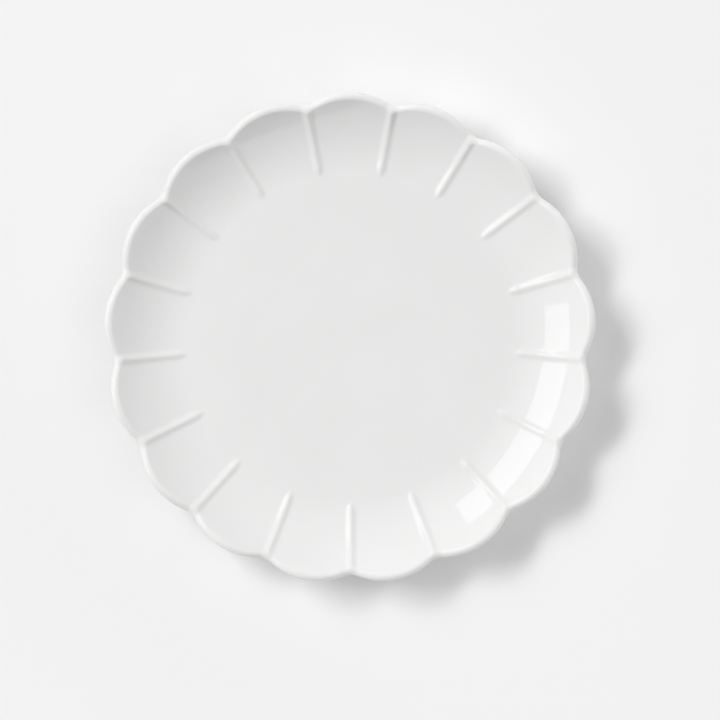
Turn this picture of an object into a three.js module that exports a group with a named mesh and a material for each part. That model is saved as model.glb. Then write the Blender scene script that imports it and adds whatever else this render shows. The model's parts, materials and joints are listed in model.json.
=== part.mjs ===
// Scalloped salad plate: a moulded stoneware body under a coat of white glaze, in millimetres, +Z up.
// The origin is on the plate's axis, at the table that the foot ring stands on, and one notch faces -Y.
import * as THREE from "three";
import { mergeVertices } from "three/addons/utils/BufferGeometryUtils.js";

// Driving dimensions of the edge and the wall
const PETAL_COUNT = 17; // petals round the edge, with a notch and a rib between each two
const TIP_RADIUS = 110; // from the axis to the outermost point of a petal
const NOTCH_DEPTH = 4.7; // how far the sharp corner of a notch would lie inside the tips
const NOTCH_ROUNDING = 1; // half width over which glaze softens that corner
const RIM_HEIGHT = 22.3; // from the table to the top of a petal
const WELL_RADIUS = 73; // the flat middle of the plate
const WALL_THICKNESS = 4.2; // finished, with the glaze on both sides

// Driving dimensions of the ribs on the upper side
const RIB_HEIGHT = 0.9; // how far a rib stands out of the wall
const RIB_WIDTH = 6.2; // a rib's whole width, from flank to flank
const RIB_RISE = 5.4; // from the edge of the well out to where a rib has its full height and width
const NOSE_WIDTH = 3.1; // the width that a rib starts with, at the edge of the well
const FLANK_HOLLOW = 1.25; // above 1 a rib's crest is narrower and its flanks run out more hollow than a wave's

// Driving dimensions of the foot ring
const FOOT_HEIGHT = 2.6; // from the table to the glazed underside of the well
const FOOT_INSET = 4; // from the edge of the well in to the outer edge of the foot's face
const FOOT_FACE = 3.2; // width of the bare face that stands on the table
const FOOT_DRAFT = 1; // how much further out each side of the foot is at its root
const FOOT_FILLET = 1; // radius of the hollow where the foot meets the underside
const FOOT_EDGE = 0.5; // the worn-off corner on each side of the bare face

// Driving dimensions of the glaze
const GLAZE_THICKNESS = 0.4;
const GLAZE_LINE = 0.9; // height at which the glaze stops on both sides of the foot

// Fineness of the surfaces
const PETAL_STEPS = 3; // along a petal's edge, from a rib's flank to the tip
const RISE_STEPS = 2; // along a rib's nose, from the edge of the well to the full height
const WALL_STEPS = 4; // up the wall, from there to the lip
const LIP_STEPS = 4; // over the half round of the lip
const UNDER_STEPS = 3; // down the underside of the wall
const FILLET_STEPS = 2; // round the hollow at the foot's root
const ROUND_STEPS = 3; // per petal, on the rings that have no petals
const WELD_DISTANCE = 1e-5; // points of a surface that are closer than this are one point

// Sizes that follow from the driving dimensions
const pitch = (2 * Math.PI) / PETAL_COUNT;
const halfPitch = pitch / 2;
const firstNotch = -Math.PI / 2;
const lip = WALL_THICKNESS / 2;
const wellHeight = FOOT_HEIGHT + WALL_THICKNESS;
const wallRun = TIP_RADIUS - lip - WELL_RADIUS;
const wallRise = RIM_HEIGHT - wellHeight;
// The wall's section is one arc that leaves the well level and ends in the middle of the lip.
const midArc = (wallRun ** 2 + wallRise ** 2) / (2 * wallRise);
const wallArc = midArc - lip;
const arcHeight = wellHeight + wallArc;
const ribHalf = RIB_WIDTH / 2;
const faceOuter = WELL_RADIUS - FOOT_INSET;
const faceInner = faceOuter - FOOT_FACE;

// Plan radius of the edge at a turn from the nearest notch: each petal is an arc through its notches and its tip.
function edgeRadius(turn) {
  const notchRadius = TIP_RADIUS - NOTCH_DEPTH;
  const halfChord = notchRadius * Math.sin(halfPitch);
  const sagitta = TIP_RADIUS - notchRadius * Math.cos(halfPitch);
  const petalArc = (halfChord ** 2 + sagitta ** 2) / (2 * sagitta);
  const petalCentre = TIP_RADIUS - petalArc;
  const softness = NOTCH_ROUNDING / notchRadius;
  const softTurn = (Math.hypot(turn, softness) * halfPitch) / Math.hypot(halfPitch, softness);
  const fromTip = halfPitch - softTurn;
  const across = petalCentre * Math.sin(fromTip);
  return petalCentre * Math.cos(fromTip) + Math.sqrt(petalArc ** 2 - across ** 2);
}

// A point of the wall's section, by its slope and by its depth below the finished upper surface: x is the plan
// radius and y the height.
function wallPoint(slope, depth) {
  const arc = wallArc + depth;
  return new THREE.Vector2(WELL_RADIUS + arc * Math.sin(slope), arcHeight - arc * Math.cos(slope));
}

// Slope of the wall where it runs into the lip.
function endSlope(turn) {
  return Math.asin((edgeRadius(turn) - lip - WELL_RADIUS) / midArc);
}

// How far a rib stands out of the wall along the line of the notch: a soft ridge that rises out of the foot of the
// wall from a narrow nose.
function ribHeight(radius, turn) {
  const rise = THREE.MathUtils.smoothstep(radius, WELL_RADIUS, WELL_RADIUS + RIB_RISE);
  const half = THREE.MathUtils.lerp(NOSE_WIDTH, RIB_WIDTH, rise) / 2;
  const reach = Math.min((radius * Math.sin(turn)) / half, 1);
  return RIB_HEIGHT * rise * ((1 + Math.cos(Math.PI * reach)) / 2) ** FLANK_HOLLOW;
}

// Turns from one notch to the next at which a petalled ring of this radius has its points: three across each half
// of the rib, then evenly to the middle of the petal and back.
function petalTurns(radius) {
  const flank = Math.asin(ribHalf / radius);
  const there = [0, flank / 2, flank];
  for (let step = 1; step <= PETAL_STEPS; step++) {
    there.push(flank + ((halfPitch - flank) * step) / PETAL_STEPS);
  }
  const back = there.slice(1, -1).reverse();
  return [...there, ...back.map((turn) => pitch - turn)];
}

// A ring of points round the axis. sectionAt gives plan radius and height at a turn from the nearest notch.
function ringAt(turns, sectionAt) {
  const points = [];
  for (let petal = 0; petal < PETAL_COUNT; petal++) {
    for (const turn of turns) {
      const place = sectionAt(Math.min(turn, pitch - turn));
      const angle = firstNotch + petal * pitch + turn;
      points.push(new THREE.Vector3(place.x * Math.cos(angle), place.x * Math.sin(angle), place.y));
    }
  }
  return points;
}

function petalRing(sectionAt) {
  return ringAt(petalTurns(sectionAt(0).x), sectionAt);
}

function roundRing(radius, height) {
  const turns = Array.from({ length: ROUND_STEPS }, (_, step) => (pitch * step) / ROUND_STEPS);
  return ringAt(turns, () => new THREE.Vector2(radius, height));
}

// Rings of the upper side of the wall, at a depth below the finished surface.
function upperRings(depth) {
  const ribbed = (slope, turn) => wallPoint(slope, depth - ribHeight(wallPoint(slope, depth).x, turn));
  const riseSlope = Math.asin(RIB_RISE / wallArc);
  const rings = [];
  for (let step = 1; step <= RISE_STEPS; step++) {
    rings.push(petalRing((turn) => ribbed((riseSlope * step) / RISE_STEPS, turn)));
  }
  for (let step = 1; step <= WALL_STEPS; step++) {
    const share = step / WALL_STEPS;
    rings.push(petalRing((turn) => ribbed(THREE.MathUtils.lerp(riseSlope, endSlope(turn), share), turn)));
  }
  return rings;
}

// Rings over the half round of the lip. A rib runs up over the lip and fades out on its outer side.
function lipRings(depth) {
  const rings = [];
  for (let step = 1; step <= LIP_STEPS; step++) {
    const share = step / LIP_STEPS;
    rings.push(
      petalRing((turn) => {
        const slope = endSlope(turn);
        const middle = wallPoint(slope, lip);
        const rib = ribHeight(wallPoint(slope, depth).x, turn) * Math.cos((Math.PI / 2) * share);
        const round = lip - depth + rib;
        const lean = Math.PI * share - slope;
        return new THREE.Vector2(middle.x + round * Math.sin(lean), middle.y + round * Math.cos(lean));
      }),
    );
  }
  return rings;
}

// Rings of the underside of the wall, which has no petals below the lip, in to where it is level.
function underRings(depth) {
  const rings = [];
  for (let step = UNDER_STEPS - 1; step >= 0; step--) {
    const place = wallPoint((endSlope(0) * step) / UNDER_STEPS, WALL_THICKNESS - depth);
    rings.push(roundRing(place.x, place.y));
  }
  return rings;
}

// Plan radius of the clay on the outer and the inner side of the foot ring, at a height above the table.
const footOuterSide = (height) => faceOuter + (FOOT_DRAFT * height) / FOOT_HEIGHT;
const footInnerSide = (height) => faceInner - (FOOT_DRAFT * height) / FOOT_HEIGHT;

// Rings down one side of the foot ring: the hollow under the plate and then the side, down to the glaze line.
// outward is 1 on the outer side and -1 on the inner one.
function footSideRings(depth, side, outward) {
  const ceiling = FOOT_HEIGHT + depth;
  const coat = outward * (GLAZE_THICKNESS - depth);
  const foot = side(ceiling - FOOT_FILLET) + coat;
  const rings = [];
  for (let step = 0; step <= FILLET_STEPS; step++) {
    const bend = ((Math.PI / 2) * step) / FILLET_STEPS;
    const radius = foot + outward * FOOT_FILLET * (1 - Math.sin(bend));
    rings.push(roundRing(radius, ceiling - FOOT_FILLET * (1 - Math.cos(bend))));
  }
  rings.push(roundRing(side(GLAZE_LINE) + coat, GLAZE_LINE));
  return rings;
}

// Rings of the main coat's path over the plate, from the edge of the well to the glaze line outside the foot.
function coatRings(depth) {
  return [
    roundRing(WELL_RADIUS, wellHeight - depth),
    ...upperRings(depth),
    ...lipRings(depth),
    ...underRings(depth),
    ...footSideRings(depth, footOuterSide, 1),
  ];
}

// Rings of the recess inside the foot ring, from the glaze line to the flat ceiling.
function recessRings(depth) {
  return footSideRings(depth, footInnerSide, -1).reverse();
}

// Rings of the bare clay below the glaze, from outside the foot to inside it.
function bareFootRings() {
  return [
    roundRing(footOuterSide(FOOT_EDGE), FOOT_EDGE),
    roundRing(faceOuter - FOOT_EDGE, 0),
    roundRing(faceInner + FOOT_EDGE, 0),
    roundRing(footInnerSide(FOOT_EDGE), FOOT_EDGE),
  ];
}

// Triangles between two rings, going round both in step. They face up where the second ring is the outer one.
function bandBetween(first, second) {
  const triangles = [];
  let i = 0;
  let j = 0;
  while (i < first.length || j < second.length) {
    const from = first[i % first.length];
    const to = second[j % second.length];
    if ((j + 1) / second.length <= (i + 1) / first.length) {
      j += 1;
      triangles.push([from, to, second[j % second.length]]);
    } else {
      i += 1;
      triangles.push([from, to, first[i % first.length]]);
    }
  }
  return triangles;
}

function skinOver(rings) {
  return rings.slice(1).flatMap((ring, index) => bandBetween(rings[index], ring));
}

// A flat disc inside a ring, facing up.
function discIn(ring) {
  const middle = new THREE.Vector3(0, 0, ring[0].z);
  return ring.map((point, index) => [middle, point, ring[(index + 1) % ring.length]]);
}

const turnedOver = (triangles) => triangles.map(([a, b, c]) => [a, c, b]);

// A named mesh from the triangles of one closed surface.
function pieceFrom(name, triangles, material) {
  const soup = new THREE.BufferGeometry().setFromPoints(triangles.flat());
  const geometry = mergeVertices(soup, WELD_DISTANCE);
  geometry.computeVertexNormals();
  const piece = new THREE.Mesh(geometry, material);
  piece.name = name;
  return piece;
}

const stoneware = new THREE.MeshStandardMaterial({ color: 0xd8cdbb, roughness: 0.85, metalness: 0 });
const whiteGlaze = new THREE.MeshStandardMaterial({ color: 0xf0efed, roughness: 0.1, metalness: 0 });

// The surfaces that the pieces share, so that the glaze lies on the clay with no gap
const clayCoat = coatRings(GLAZE_THICKNESS);
const clayRecess = recessRings(GLAZE_THICKNESS);
const clayUnderCoat = [...discIn(clayCoat[0]), ...skinOver(clayCoat)];
const clayUnderRecess = [...skinOver(clayRecess), ...turnedOver(discIn(clayRecess.at(-1)))];

const finishedCoat = coatRings(0);
const finishedRecess = recessRings(0);

const body = pieceFrom(
  "stoneware_body",
  [
    ...clayUnderCoat,
    ...skinOver([clayCoat.at(-1), ...bareFootRings(), clayRecess[0]]),
    ...clayUnderRecess,
  ],
  stoneware,
);

const glazeCoat = pieceFrom(
  "glaze_coat",
  [
    ...discIn(finishedCoat[0]),
    ...skinOver([...finishedCoat, clayCoat.at(-1)]),
    ...turnedOver(clayUnderCoat),
  ],
  whiteGlaze,
);

const recessGlaze = pieceFrom(
  "foot_recess_glaze",
  [
    ...turnedOver(clayUnderRecess),
    ...skinOver([clayRecess[0], ...finishedRecess]),
    ...turnedOver(discIn(finishedRecess.at(-1))),
  ],
  whiteGlaze,
);

const plate = new THREE.Group();
plate.name = "scalloped_salad_plate";
plate.add(body, glazeCoat, recessGlaze);

export default plate;
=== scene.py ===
# A white glazed plate with a scalloped edge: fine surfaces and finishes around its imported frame.
import json
import math

import bpy
import numpy as np
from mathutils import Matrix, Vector


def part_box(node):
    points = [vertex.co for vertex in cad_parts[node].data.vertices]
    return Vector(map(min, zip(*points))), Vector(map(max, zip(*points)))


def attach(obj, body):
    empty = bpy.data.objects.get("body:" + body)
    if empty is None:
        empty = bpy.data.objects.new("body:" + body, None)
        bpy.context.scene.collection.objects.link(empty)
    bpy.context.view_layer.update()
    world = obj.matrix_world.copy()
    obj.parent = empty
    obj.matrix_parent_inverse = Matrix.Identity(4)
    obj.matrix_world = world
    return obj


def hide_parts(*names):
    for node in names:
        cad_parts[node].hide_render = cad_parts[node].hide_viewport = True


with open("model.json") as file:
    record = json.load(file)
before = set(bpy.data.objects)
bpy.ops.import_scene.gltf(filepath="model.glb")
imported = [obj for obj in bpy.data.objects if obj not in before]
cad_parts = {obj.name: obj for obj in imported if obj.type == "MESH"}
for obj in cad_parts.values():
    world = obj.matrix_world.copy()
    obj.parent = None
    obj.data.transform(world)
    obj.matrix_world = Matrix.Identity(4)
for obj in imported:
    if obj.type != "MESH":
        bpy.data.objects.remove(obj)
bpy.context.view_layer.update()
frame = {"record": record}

MM = 0.001

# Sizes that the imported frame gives: the petal tips, the top of the rim and the level of the well.
_, coat_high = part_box("glaze_coat")
mounts = {mount["name"]: mount for mount in frame["record"]["mounts"]}
TIP_RADIUS = coat_high.y
RIM_HEIGHT = coat_high.z
WELL_HEIGHT = mounts["well_face"]["pos_m"][2]

# Sizes that the frame doesn't state, the same as in the solids.
PETAL_COUNT = 17
NOTCH_DEPTH = 4.7 * MM
NOTCH_ROUNDING = 1.0 * MM
WELL_RADIUS = 73 * MM
WALL_THICKNESS = 4.2 * MM
RIB_HEIGHT = 0.9 * MM
RIB_WIDTH = 6.2 * MM
RIB_RISE = 5.4 * MM  # from the edge of the well out to where a rib has its full height and width
NOSE_WIDTH = 3.1 * MM  # the width that a rib starts with
FLANK_HOLLOW = 1.25  # above 1 a rib's flanks run out more hollow than a wave's
FOOT_INSET = 4 * MM
FOOT_FACE = 3.2 * MM
FOOT_DRAFT = 1 * MM
FOOT_FILLET = 1 * MM
FOOT_EDGE = 0.5 * MM
GLAZE_THICKNESS = 0.4 * MM
GLAZE_LINE = 0.9 * MM

# Fineness of the surfaces.
HALF_PETAL_STEPS = 17
RIB_CROWDING = 0.3  # spacing of the columns at a rib, as a share of even spacing
WELL_STEPS = 8
WALL_STEPS = 56
LIP_STEPS = 18
UNDER_STEPS = 28
FILLET_STEPS = 6
EDGE_STEPS = 5
HIDDEN_STEPS = 10
CREASE_ANGLE = math.radians(50)

# Values that follow from those sizes.
PITCH = 2 * math.pi / PETAL_COUNT
HALF_PITCH = PITCH / 2
FIRST_NOTCH = -math.pi / 2
QUARTER_TURN = math.pi / 2
LIP = WALL_THICKNESS / 2
FOOT_HEIGHT = WELL_HEIGHT - WALL_THICKNESS
WALL_RUN = TIP_RADIUS - LIP - WELL_RADIUS
WALL_RISE = RIM_HEIGHT - WELL_HEIGHT
MID_ARC = (WALL_RUN**2 + WALL_RISE**2) / (2 * WALL_RISE)
WALL_ARC = MID_ARC - LIP
ARC_HEIGHT = WELL_HEIGHT + WALL_ARC
FACE_OUTER = WELL_RADIUS - FOOT_INSET
FACE_INNER = FACE_OUTER - FOOT_FACE
NOTCH_RADIUS = TIP_RADIUS - NOTCH_DEPTH

# The mesh layer that says how thin the glaze runs.
THINNESS = "thinness"


def petal_columns():
    """Each column's angle round the axis, and its turn from the nearest rib. Columns crowd on the ribs."""
    steps = np.linspace(0, 1, HALF_PETAL_STEPS + 1)
    half = HALF_PITCH * (RIB_CROWDING * steps + (1 - RIB_CROWDING) * steps**2)
    petal = np.concatenate([half[:-1], PITCH - half[:0:-1]])
    angles = FIRST_NOTCH + (np.arange(PETAL_COUNT)[:, None] * PITCH + petal).ravel()
    turns = np.tile(np.minimum(petal, PITCH - petal), PETAL_COUNT)
    return angles, turns


def edge_radius(turn):
    """The plate's outline: petals that are arcs, meeting in notches that are slightly rounded."""
    half_chord = NOTCH_RADIUS * math.sin(HALF_PITCH)
    sagitta = TIP_RADIUS - NOTCH_RADIUS * math.cos(HALF_PITCH)
    petal_arc = (half_chord**2 + sagitta**2) / (2 * sagitta)
    petal_centre = TIP_RADIUS - petal_arc
    softness = NOTCH_ROUNDING / NOTCH_RADIUS
    soft_turn = np.hypot(turn, softness) * HALF_PITCH / math.hypot(HALF_PITCH, softness)
    from_tip = HALF_PITCH - soft_turn
    across = petal_centre * np.sin(from_tip)
    return petal_centre * np.cos(from_tip) + np.sqrt(petal_arc**2 - across**2)


def wall_point(slope, depth):
    """Radius and height of a point of the wall's arc, at a slope and a depth below the upper surface."""
    arc = WALL_ARC + depth
    return WELL_RADIUS + arc * np.sin(slope), ARC_HEIGHT - arc * np.cos(slope)


ANGLES, TURNS = petal_columns()
END_SLOPES = np.arcsin((edge_radius(TURNS) - LIP - WELL_RADIUS) / MID_ARC)


def smooth(share):
    """A rise from 0 to 1 that starts and ends level."""
    held = np.clip(share, 0, 1)
    return held * held * (3 - 2 * held)


def rib_height(radius):
    """How far a rib stands out of the wall: a soft ridge that rises from a narrow nose at the well."""
    rise = smooth((radius - WELL_RADIUS) / RIB_RISE)
    half = (NOSE_WIDTH + (RIB_WIDTH - NOSE_WIDTH) * rise) / 2
    reach = np.minimum(radius * np.sin(TURNS) / half, 1)
    return RIB_HEIGHT * rise * ((1 + np.cos(math.pi * reach)) / 2) ** FLANK_HOLLOW


def ring(radius, height, thinness=0.0):
    """Radius, height and thinness of the glaze at every column of one ring."""
    columns = np.zeros(len(TURNS))
    return columns + radius, columns + height, columns + thinness


def upper_rings(depth, wall_steps, lip_steps):
    """Rings over the well, up the wall with its ribs, and round the lip to the underside."""
    rings = []
    for step in range(1, WELL_STEPS + 1):
        rings.append(ring(WELL_RADIUS * step / WELL_STEPS, WELL_HEIGHT - depth))
    for step in range(1, wall_steps + 1):
        slope = END_SLOPES * step / wall_steps
        rib = rib_height(wall_point(slope, depth)[0])
        rings.append(ring(*wall_point(slope, depth - rib), rib / RIB_HEIGHT))
    end_rib = rib_height(wall_point(END_SLOPES, depth)[0])
    middle_radius, middle_height = wall_point(END_SLOPES, LIP)
    for step in range(1, lip_steps + 1):
        share = step / lip_steps
        fading_rib = end_rib * math.cos(QUARTER_TURN * share)
        rounding = LIP - depth + fading_rib
        lean = math.pi * share - END_SLOPES
        radius = middle_radius + rounding * np.sin(lean)
        height = middle_height + rounding * np.cos(lean)
        thinness = np.maximum(math.sin(math.pi * share), fading_rib / RIB_HEIGHT)
        rings.append(ring(radius, height, thinness))
    return rings


def foot_outer_side(height):
    """Radius of the clay on the outer side of the foot."""
    return FACE_OUTER + FOOT_DRAFT * height / FOOT_HEIGHT


def foot_inner_side(height):
    """Radius of the clay on the inner side of the foot."""
    return FACE_INNER - FOOT_DRAFT * height / FOOT_HEIGHT


def hollow_rings(side, outward, depth):
    """Rings of the hollow between the underside and a side of the foot, from the underside down."""
    ceiling = FOOT_HEIGHT + depth
    foot = side(ceiling - FOOT_FILLET) + outward * (GLAZE_THICKNESS - depth)
    rings = []
    for step in range(FILLET_STEPS + 1):
        bend = QUARTER_TURN * step / FILLET_STEPS
        radius = foot + outward * FOOT_FILLET * (1 - math.sin(bend))
        rings.append(ring(radius, ceiling - FOOT_FILLET * (1 - math.cos(bend))))
    return rings


def under_rings(depth, steps):
    """Rings back down the outside of the wall and under the well, to the hollow outside the foot."""
    rings = []
    for step in range(1, steps + 1):
        slope = END_SLOPES * (1 - step / steps)
        rings.append(ring(*wall_point(slope, WALL_THICKNESS - depth)))
    return rings + hollow_rings(foot_outer_side, 1, depth)


def recess_rings(depth):
    """Rings of the flat ceiling inside the foot, from the middle out, and of the hollow at its edge."""
    hollow = hollow_rings(foot_inner_side, -1, depth)
    flat_radius = hollow[0][0][0]
    flat = []
    for step in range(1, WELL_STEPS):
        flat.append(ring(flat_radius * step / WELL_STEPS, FOOT_HEIGHT + depth))
    return flat + hollow


def glaze_edge(side, outward):
    """Rings of the rolled edge in which the glaze ends on a side of the foot, from its face to the clay."""
    rings = []
    for step in range(EDGE_STEPS + 1):
        bend = QUARTER_TURN * step / EDGE_STEPS
        height = GLAZE_LINE + GLAZE_THICKNESS * (1 - math.sin(bend))
        radius = side(height) + outward * GLAZE_THICKNESS * math.cos(bend)
        rings.append(ring(radius, height, step / EDGE_STEPS))
    return rings


def foot_edge(side, outward):
    """Rings of bare clay on a side of the foot, from the glaze line over a worn corner to the face."""
    rings = [ring(side(GLAZE_LINE), GLAZE_LINE)]
    for step in range(EDGE_STEPS + 1):
        bend = QUARTER_TURN * step / EDGE_STEPS
        height = FOOT_EDGE * (1 - math.sin(bend))
        rings.append(ring(side(height) - outward * FOOT_EDGE * (1 - math.cos(bend)), height))
    return rings


def closed_piece(name, first_height, rings, last_height):
    """A closed surface of rings that starts and ends in a point on the axis."""
    columns = len(ANGLES)
    across = np.cos(ANGLES)
    along = np.sin(ANGLES)
    bands = [np.column_stack([radius * across, radius * along, height]) for radius, height, _ in rings]
    points = np.vstack([(0, 0, first_height), *bands, (0, 0, last_height)])
    thinness = np.concatenate([[0], *[thin for _, _, thin in rings], [0]])
    column = np.arange(columns)
    beside = (column + 1) % columns
    faces = np.column_stack([np.zeros(columns, int), 1 + column, 1 + beside]).tolist()
    for row in range(len(rings) - 1):
        near = 1 + row * columns
        far = near + columns
        faces += np.column_stack([near + column, far + column, far + beside, near + beside]).tolist()
    end = 1 + (len(rings) - 1) * columns
    faces += np.column_stack([np.full(columns, len(points) - 1), end + beside, end + column]).tolist()
    mesh = bpy.data.meshes.new(name)
    mesh.from_pydata(points.tolist(), [], faces)
    mesh.shade_smooth()
    mesh.set_sharp_from_angle(angle=CREASE_ANGLE)
    layer = mesh.attributes.new(THINNESS, "FLOAT", "POINT")
    layer.data.foreach_set("value", thinness.astype(np.float32))
    piece = bpy.data.objects.new(name, mesh)
    bpy.context.scene.collection.objects.link(piece)
    return piece


# The clay's surface under the glaze, which the clay and both patches of glaze share.
clay_over = upper_rings(GLAZE_THICKNESS, HIDDEN_STEPS, HIDDEN_STEPS)
clay_over += under_rings(GLAZE_THICKNESS, HIDDEN_STEPS)
clay_recess = recess_rings(GLAZE_THICKNESS)
clay_top = WELL_HEIGHT - GLAZE_THICKNESS
clay_ceiling = FOOT_HEIGHT + GLAZE_THICKNESS

outer_foot = foot_edge(foot_outer_side, 1)
inner_foot = foot_edge(foot_inner_side, -1)
clay = closed_piece(
    "plate_clay",
    clay_top,
    clay_over + outer_foot + inner_foot[::-1] + clay_recess[::-1],
    clay_ceiling,
)
coat_over = upper_rings(0, WALL_STEPS, LIP_STEPS) + under_rings(0, UNDER_STEPS)
coat = closed_piece(
    "plate_glaze",
    WELL_HEIGHT,
    coat_over + glaze_edge(foot_outer_side, 1) + clay_over[::-1],
    clay_top,
)
recess = closed_piece(
    "foot_recess_patch",
    clay_ceiling,
    clay_recess + glaze_edge(foot_inner_side, -1)[::-1] + recess_rings(0)[::-1],
    FOOT_HEIGHT,
)

# Most of a noise's values lie in this range.
NOISE_RANGE = (0.3, 0.7)

# The glaze: clouds of two close whites, warmer where it runs thin over ribs and lip, and a soft ripple.
CLOUD_SIZE = 30 * MM
CLOUD_COLOURS = ((0.807, 0.806, 0.803), (0.824, 0.823, 0.821))
THIN_COLOUR = (0.81, 0.804, 0.793, 1)
THIN_RANGE = (0.4, 1.0)
THIN_SHARE = 0.6
GLOSS_PATCH_SIZE = 12 * MM
GLAZE_ROUGHNESS = (0.025, 0.045)
GLAZE_IOR = 1.5
RIPPLE_SIZE = 14 * MM
RIPPLE_HEIGHT = 0.02 * MM
PEEL_SIZE = 2.2 * MM
PEEL_HEIGHT = 0.0012 * MM

# The bare clay: soft patches of two browns, fine grain and a few darker specks.
PATCH_SIZE = 9 * MM
CLAY_COLOURS = ((0.63, 0.545, 0.435), (0.74, 0.665, 0.56))
SPECK_SIZE = 1.1 * MM
SPECK_RANGE = (0.3, 0.4)
SPECK_COLOURS = ((0.55, 0.47, 0.4), (1, 1, 1))
DRY_PATCH_SIZE = 2 * MM
CLAY_ROUGHNESS = (0.78, 0.92)
GRAIN_SIZE = 0.4 * MM
GRAIN_HEIGHT = 0.06 * MM
GRAIN_STRENGTH = 0.8

# The floor: a plain pale sheet, far larger than the view.
FLOOR_HALF = 6.0
FLOOR_PATCH_SIZE = 0.4
FLOOR_COLOURS = ((0.9, 0.9, 0.9), (0.91, 0.91, 0.91))
FLOOR_ROUGHNESS = 0.9
FLOOR_SPECULAR = 0.1


class Finish:
    """A node material with a principled shader, and short ways to add what feeds it."""

    def __init__(self, name):
        self.material = bpy.data.materials.new(name)
        self.material.use_nodes = True
        self.tree = self.material.node_tree
        self.shader = self.tree.nodes["Principled BSDF"]
        self.place = self.tree.nodes.new("ShaderNodeTexCoord").outputs["Object"]

    def set(self, **values):
        """Sets inputs of the shader to a value or to what another node gives."""
        for name, value in values.items():
            self.feed(self.shader.inputs[name.replace("_", " ")], value)

    def node(self, kind, **inputs):
        """A new node with those inputs."""
        made = self.tree.nodes.new(kind)
        for name, value in inputs.items():
            self.feed(made.inputs[name.replace("_", " ")], value)
        return made

    def feed(self, socket, value):
        """Gives a socket a value, or links it to the output of another node."""
        if isinstance(value, bpy.types.NodeSocket):
            self.tree.links.new(value, socket)
        else:
            socket.default_value = value

    def noise(self, feature, detail=2.0, roughness=0.5):
        """Soft noise whose features are about that many metres across."""
        made = self.node(
            "ShaderNodeTexNoise",
            Vector=self.place,
            Scale=1 / feature,
            Detail=detail,
            Roughness=roughness,
        )
        return made.outputs["Fac"]

    def ramp(self, share, stops, colours):
        """A colour that goes from one to another between two stops."""
        made = self.node("ShaderNodeValToRGB", Fac=share)
        for element, stop, colour in zip(made.color_ramp.elements, stops, colours):
            element.position = stop
            element.color = (*colour, 1)
        return made.outputs["Color"]

    def spread(self, share, old_range, new_range):
        """A number mapped from one range to another, and held within it."""
        made = self.node(
            "ShaderNodeMapRange",
            Value=share,
            From_Min=old_range[0],
            From_Max=old_range[1],
            To_Min=new_range[0],
            To_Max=new_range[1],
        )
        return made.outputs["Result"]

    def blend(self, kind, share, first, second):
        """Two colours put together."""
        made = self.node("ShaderNodeMix", Factor=share)
        made.data_type = "RGBA"
        made.blend_type = kind
        sockets = {socket.identifier: socket for socket in (*made.inputs, *made.outputs)}
        self.feed(sockets["A_Color"], first)
        self.feed(sockets["B_Color"], second)
        return sockets["Result_Color"]

    def bump(self, height, distance, strength=1.0, under=None):
        """The normal of a relief of that many metres, which may lie on top of another relief."""
        made = self.node("ShaderNodeBump", Height=height, Distance=distance, Strength=strength)
        if under is not None:
            self.feed(made.inputs["Normal"], under)
        return made.outputs["Normal"]


def glaze_finish():
    """Glossy white glaze, a shade warmer where it runs thin."""
    finish = Finish("white_glaze")
    cloud = finish.ramp(finish.noise(CLOUD_SIZE, detail=3), NOISE_RANGE, CLOUD_COLOURS)
    thin = finish.node("ShaderNodeAttribute")
    thin.attribute_name = THINNESS
    thin_share = finish.spread(thin.outputs["Fac"], THIN_RANGE, (0, THIN_SHARE))
    gloss_patches = finish.noise(GLOSS_PATCH_SIZE, detail=4)
    ripple = finish.bump(finish.noise(RIPPLE_SIZE, detail=1), RIPPLE_HEIGHT)
    peel = finish.bump(finish.noise(PEEL_SIZE, detail=1), PEEL_HEIGHT, under=ripple)
    finish.set(
        Base_Color=finish.blend("MIX", thin_share, cloud, THIN_COLOUR),
        Roughness=finish.spread(gloss_patches, NOISE_RANGE, GLAZE_ROUGHNESS),
        IOR=GLAZE_IOR,
        Normal=peel,
    )
    return finish.material


def clay_finish():
    """Bare fired stoneware, matte and grainy."""
    finish = Finish("bare_stoneware")
    patches = finish.noise(PATCH_SIZE, detail=6, roughness=0.6)
    specks = finish.noise(SPECK_SIZE, detail=2, roughness=0.7)
    colour = finish.blend(
        "MULTIPLY",
        share=1,
        first=finish.ramp(patches, NOISE_RANGE, CLAY_COLOURS),
        second=finish.ramp(specks, SPECK_RANGE, SPECK_COLOURS),
    )
    dry_patches = finish.noise(DRY_PATCH_SIZE, detail=3)
    grain = finish.bump(finish.noise(GRAIN_SIZE, detail=4, roughness=0.6), GRAIN_HEIGHT, GRAIN_STRENGTH)
    finish.set(
        Base_Color=colour,
        Roughness=finish.spread(dry_patches, NOISE_RANGE, CLAY_ROUGHNESS),
        Normal=grain,
    )
    return finish.material


def floor_finish():
    """A matte, almost even pale grey."""
    finish = Finish("pale_floor")
    finish.set(
        Base_Color=finish.ramp(finish.noise(FLOOR_PATCH_SIZE), NOISE_RANGE, FLOOR_COLOURS),
        Roughness=FLOOR_ROUGHNESS,
        Specular_IOR_Level=FLOOR_SPECULAR,
    )
    return finish.material


def pale_floor():
    """The sheet that the plate stands on."""
    mesh = bpy.data.meshes.new("floor")
    corners = [(x * FLOOR_HALF, y * FLOOR_HALF, 0) for x, y in ((-1, -1), (1, -1), (1, 1), (-1, 1))]
    mesh.from_pydata(corners, [], [(0, 1, 2, 3)])
    mesh.materials.append(floor_finish())
    sheet = bpy.data.objects.new("floor", mesh)
    bpy.context.scene.collection.objects.link(sheet)


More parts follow.
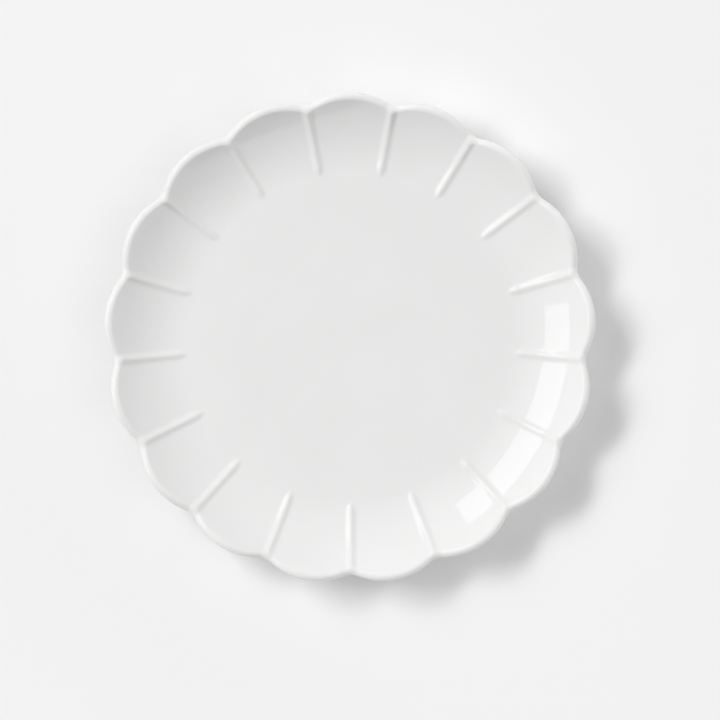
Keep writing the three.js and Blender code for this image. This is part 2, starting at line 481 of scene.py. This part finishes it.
white_glaze = glaze_finish()
bare_stoneware = clay_finish()
for piece, node, slot, material in (
    (clay, "stoneware_body", "stoneware", bare_stoneware),
    (coat, "glaze_coat", "white_glaze", white_glaze),
    (recess, "foot_recess_glaze", "white_glaze", white_glaze),
):
    piece.data.materials.append(material)
    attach(piece, "root")
    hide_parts(node)
pale_floor()

# The light: a large window at the upper left of the picture with a bright middle, a pale ceiling, a soft
# fill from the lower right, and a room that is lighter towards the top of the picture and low down at the
# right and at the lower left. Azimuths turn from the picture's right to its top, and heights are angles
# above the floor, both in degrees. A brightness of 1 is white.
WINDOW_DISTANCE = 10.0
WINDOW = {"azimuth": (122.0, 188.6), "height": (27.0, 57.5), "brightness": 1.9}
WINDOW_MIDDLE = {"azimuth": (130.0, 172.0), "height": (37.5, 47.5), "brightness": 15.5}
CEILING_HEIGHTS = (53.0, 90.0)
CEILING_LIGHT = 0.65
FAR_SIDE = {"azimuth": 90.0, "brightness": 0.3}
FILL = {"azimuth": 332.0, "brightness": 1.8}
FILL_HEIGHTS = (17.5, 44.4)
LOW_GLOWS = ({"azimuth": 25.0, "brightness": 2.5}, {"azimuth": 225.0, "brightness": 1.3})
LOW_HEIGHTS = (24.0, 3.0)

# The room as the camera and reflections see it: evenly pale, with a dark corner that only reflections show.
# The corner fades in between two angles from its middle.
SEEN_ROOM = 0.9
DARK_CORNER_AZIMUTH = 290.0
DARK_CORNER_REACH = (26.0, 20.0)
WHITE = (1, 1, 1, 1)


def window_lamp(name, azimuth, height, brightness, in_reflections):
    """An upright rectangle of even brightness that covers those angles as seen from the plate."""
    middle = math.radians(sum(azimuth) / 2)
    half_turn = math.radians(azimuth[1] - azimuth[0]) / 2
    low, high = (WINDOW_DISTANCE * math.tan(math.radians(angle)) for angle in height)
    inward = Vector((-math.cos(middle), -math.sin(middle), 0))
    lamp = bpy.data.lights.new(name, "AREA")
    lamp.shape = "RECTANGLE"
    lamp.size = 2 * WINDOW_DISTANCE * math.tan(half_turn)
    lamp.size_y = high - low
    lamp.energy = brightness * math.pi * lamp.size * lamp.size_y
    holder = bpy.data.objects.new(name, lamp)
    holder.location = -inward * WINDOW_DISTANCE + Vector((0, 0, (low + high) / 2))
    holder.rotation_mode = "QUATERNION"
    holder.rotation_quaternion = inward.to_track_quat("-Z", "Y")
    holder.visible_glossy = in_reflections
    bpy.context.scene.collection.objects.link(holder)


class Room:
    """The nodes of a world, with short ways to say how bright each direction is."""

    def __init__(self, name):
        self.world = bpy.data.worlds.new(name)
        self.world.use_nodes = True
        self.tree = self.world.node_tree
        self.direction = self.tree.nodes.new("ShaderNodeTexCoord").outputs["Generated"]

    def along(self, axis):
        """How much of a direction points along an axis."""
        made = self.tree.nodes.new("ShaderNodeVectorMath")
        made.operation = "DOT_PRODUCT"
        first, second = made.inputs[:2]
        self.tree.links.new(self.direction, first)
        second.default_value = axis
        return made.outputs["Value"]

    def towards(self, azimuth):
        """How much of a direction points level towards an azimuth."""
        turn = math.radians(azimuth)
        return self.along((math.cos(turn), math.sin(turn), 0))

    def rise(self, value, start, end, top, shape="SMOOTHSTEP"):
        """Nought up to the start of a range, and a top value from its end on."""
        made = self.tree.nodes.new("ShaderNodeMapRange")
        made.interpolation_type = shape
        self.tree.links.new(value, made.inputs["Value"])
        for name, number in (("From Min", start), ("From Max", end), ("To Min", 0), ("To Max", top)):
            made.inputs[name].default_value = number
        return made.outputs["Result"]

    def between_heights(self, heights, top):
        """Nought up to one height above the floor, and a top value from another on."""
        start, end = (math.sin(math.radians(height)) for height in heights)
        return self.rise(self.along((0, 0, 1)), start, end, top)

    def glow(self, azimuth, brightness):
        """Light that is brightest towards one azimuth, and nought from a quarter turn away on."""
        return self.rise(self.towards(azimuth), 0, 1, brightness, "LINEAR")

    def join(self, operation, first, *others):
        """Values put together by one operation."""
        joined = first
        for other in others:
            made = self.tree.nodes.new("ShaderNodeMath")
            made.operation = operation
            for value, socket in zip((joined, other), made.inputs):
                self.tree.links.new(value, socket)
            joined = made.outputs["Value"]
        return joined

    def surface(self, strength):
        """White light of that strength."""
        made = self.tree.nodes.new("ShaderNodeBackground")
        made.inputs["Color"].default_value = WHITE
        self.tree.links.new(strength, made.inputs["Strength"])
        return made.outputs["Background"]


def matte_light(room):
    """The light of the room on matte surfaces."""
    ceiling = room.between_heights(CEILING_HEIGHTS, CEILING_LIGHT)
    far_side = room.glow(**FAR_SIDE)
    fill = room.join("MULTIPLY", room.glow(**FILL), room.between_heights(FILL_HEIGHTS, 1))
    low_glows = room.join("ADD", *(room.glow(**glow) for glow in LOW_GLOWS))
    low_light = room.join("MULTIPLY", low_glows, room.between_heights(LOW_HEIGHTS, 1))
    return room.surface(room.join("ADD", ceiling, far_side, fill, low_light))


def seen_light(room, reflected):
    """The room as it is seen: even, but for the dark corner in reflections."""
    corner_reach = (math.cos(math.radians(angle)) for angle in DARK_CORNER_REACH)
    corner = room.rise(room.towards(DARK_CORNER_AZIMUTH), *corner_reach, 1)
    return room.surface(room.rise(room.join("MULTIPLY", corner, reflected), 1, 0, SEEN_ROOM, "LINEAR"))


def pale_room():
    """The world: what lights matte surfaces, and what the camera and reflections see in its place."""
    room = Room("pale_room")
    path = room.tree.nodes.new("ShaderNodeLightPath")
    reflected = room.join("MAXIMUM", path.outputs["Is Glossy Ray"], path.outputs["Is Transmission Ray"])
    seen = room.join("MAXIMUM", path.outputs["Is Camera Ray"], reflected)
    mix = room.tree.nodes.new("ShaderNodeMixShader")
    for value, socket in zip((seen, matte_light(room), seen_light(room, reflected)), mix.inputs):
        room.tree.links.new(value, socket)
    room.tree.links.new(mix.outputs["Shader"], room.tree.nodes["World Output"].inputs["Surface"])
    bpy.context.scene.world = room.world


window_lamp("window", **WINDOW, in_reflections=True)
window_lamp("window_middle", **WINDOW_MIDDLE, in_reflections=False)
pale_room()

# The camera looks straight down. In a picture of 720 pixels each way, the plate's middle is left of the
# picture's middle and above it, and the petal tips lie on a circle of this many pixels.
PICTURE_SIZE = 720
PLATE_MIDDLE = (350.2, 337.9)
TIP_RADIUS_SEEN = 246.0
PLATE_TURN = math.radians(0.18)
CAMERA_HEIGHT = 1.5
SENSOR_WIDTH = 36.0


def overhead_camera():
    """The camera, far enough up that the plate is seen almost without perspective."""
    lip_level = RIM_HEIGHT - LIP
    pixel = TIP_RADIUS / TIP_RADIUS_SEEN
    camera = bpy.data.cameras.new("camera")
    camera.sensor_width = SENSOR_WIDTH
    camera.lens = SENSOR_WIDTH * (CAMERA_HEIGHT - lip_level) / (PICTURE_SIZE * pixel)
    holder = bpy.data.objects.new("camera", camera)
    holder.location = (
        (PICTURE_SIZE / 2 - PLATE_MIDDLE[0]) * pixel,
        (PLATE_MIDDLE[1] - PICTURE_SIZE / 2) * pixel,
        CAMERA_HEIGHT,
    )
    holder.rotation_euler = (0, 0, -PLATE_TURN)
    bpy.context.scene.collection.objects.link(holder)
    bpy.context.scene.camera = holder


overhead_camera()
bpy.context.scene.view_settings.view_transform = "Standard"
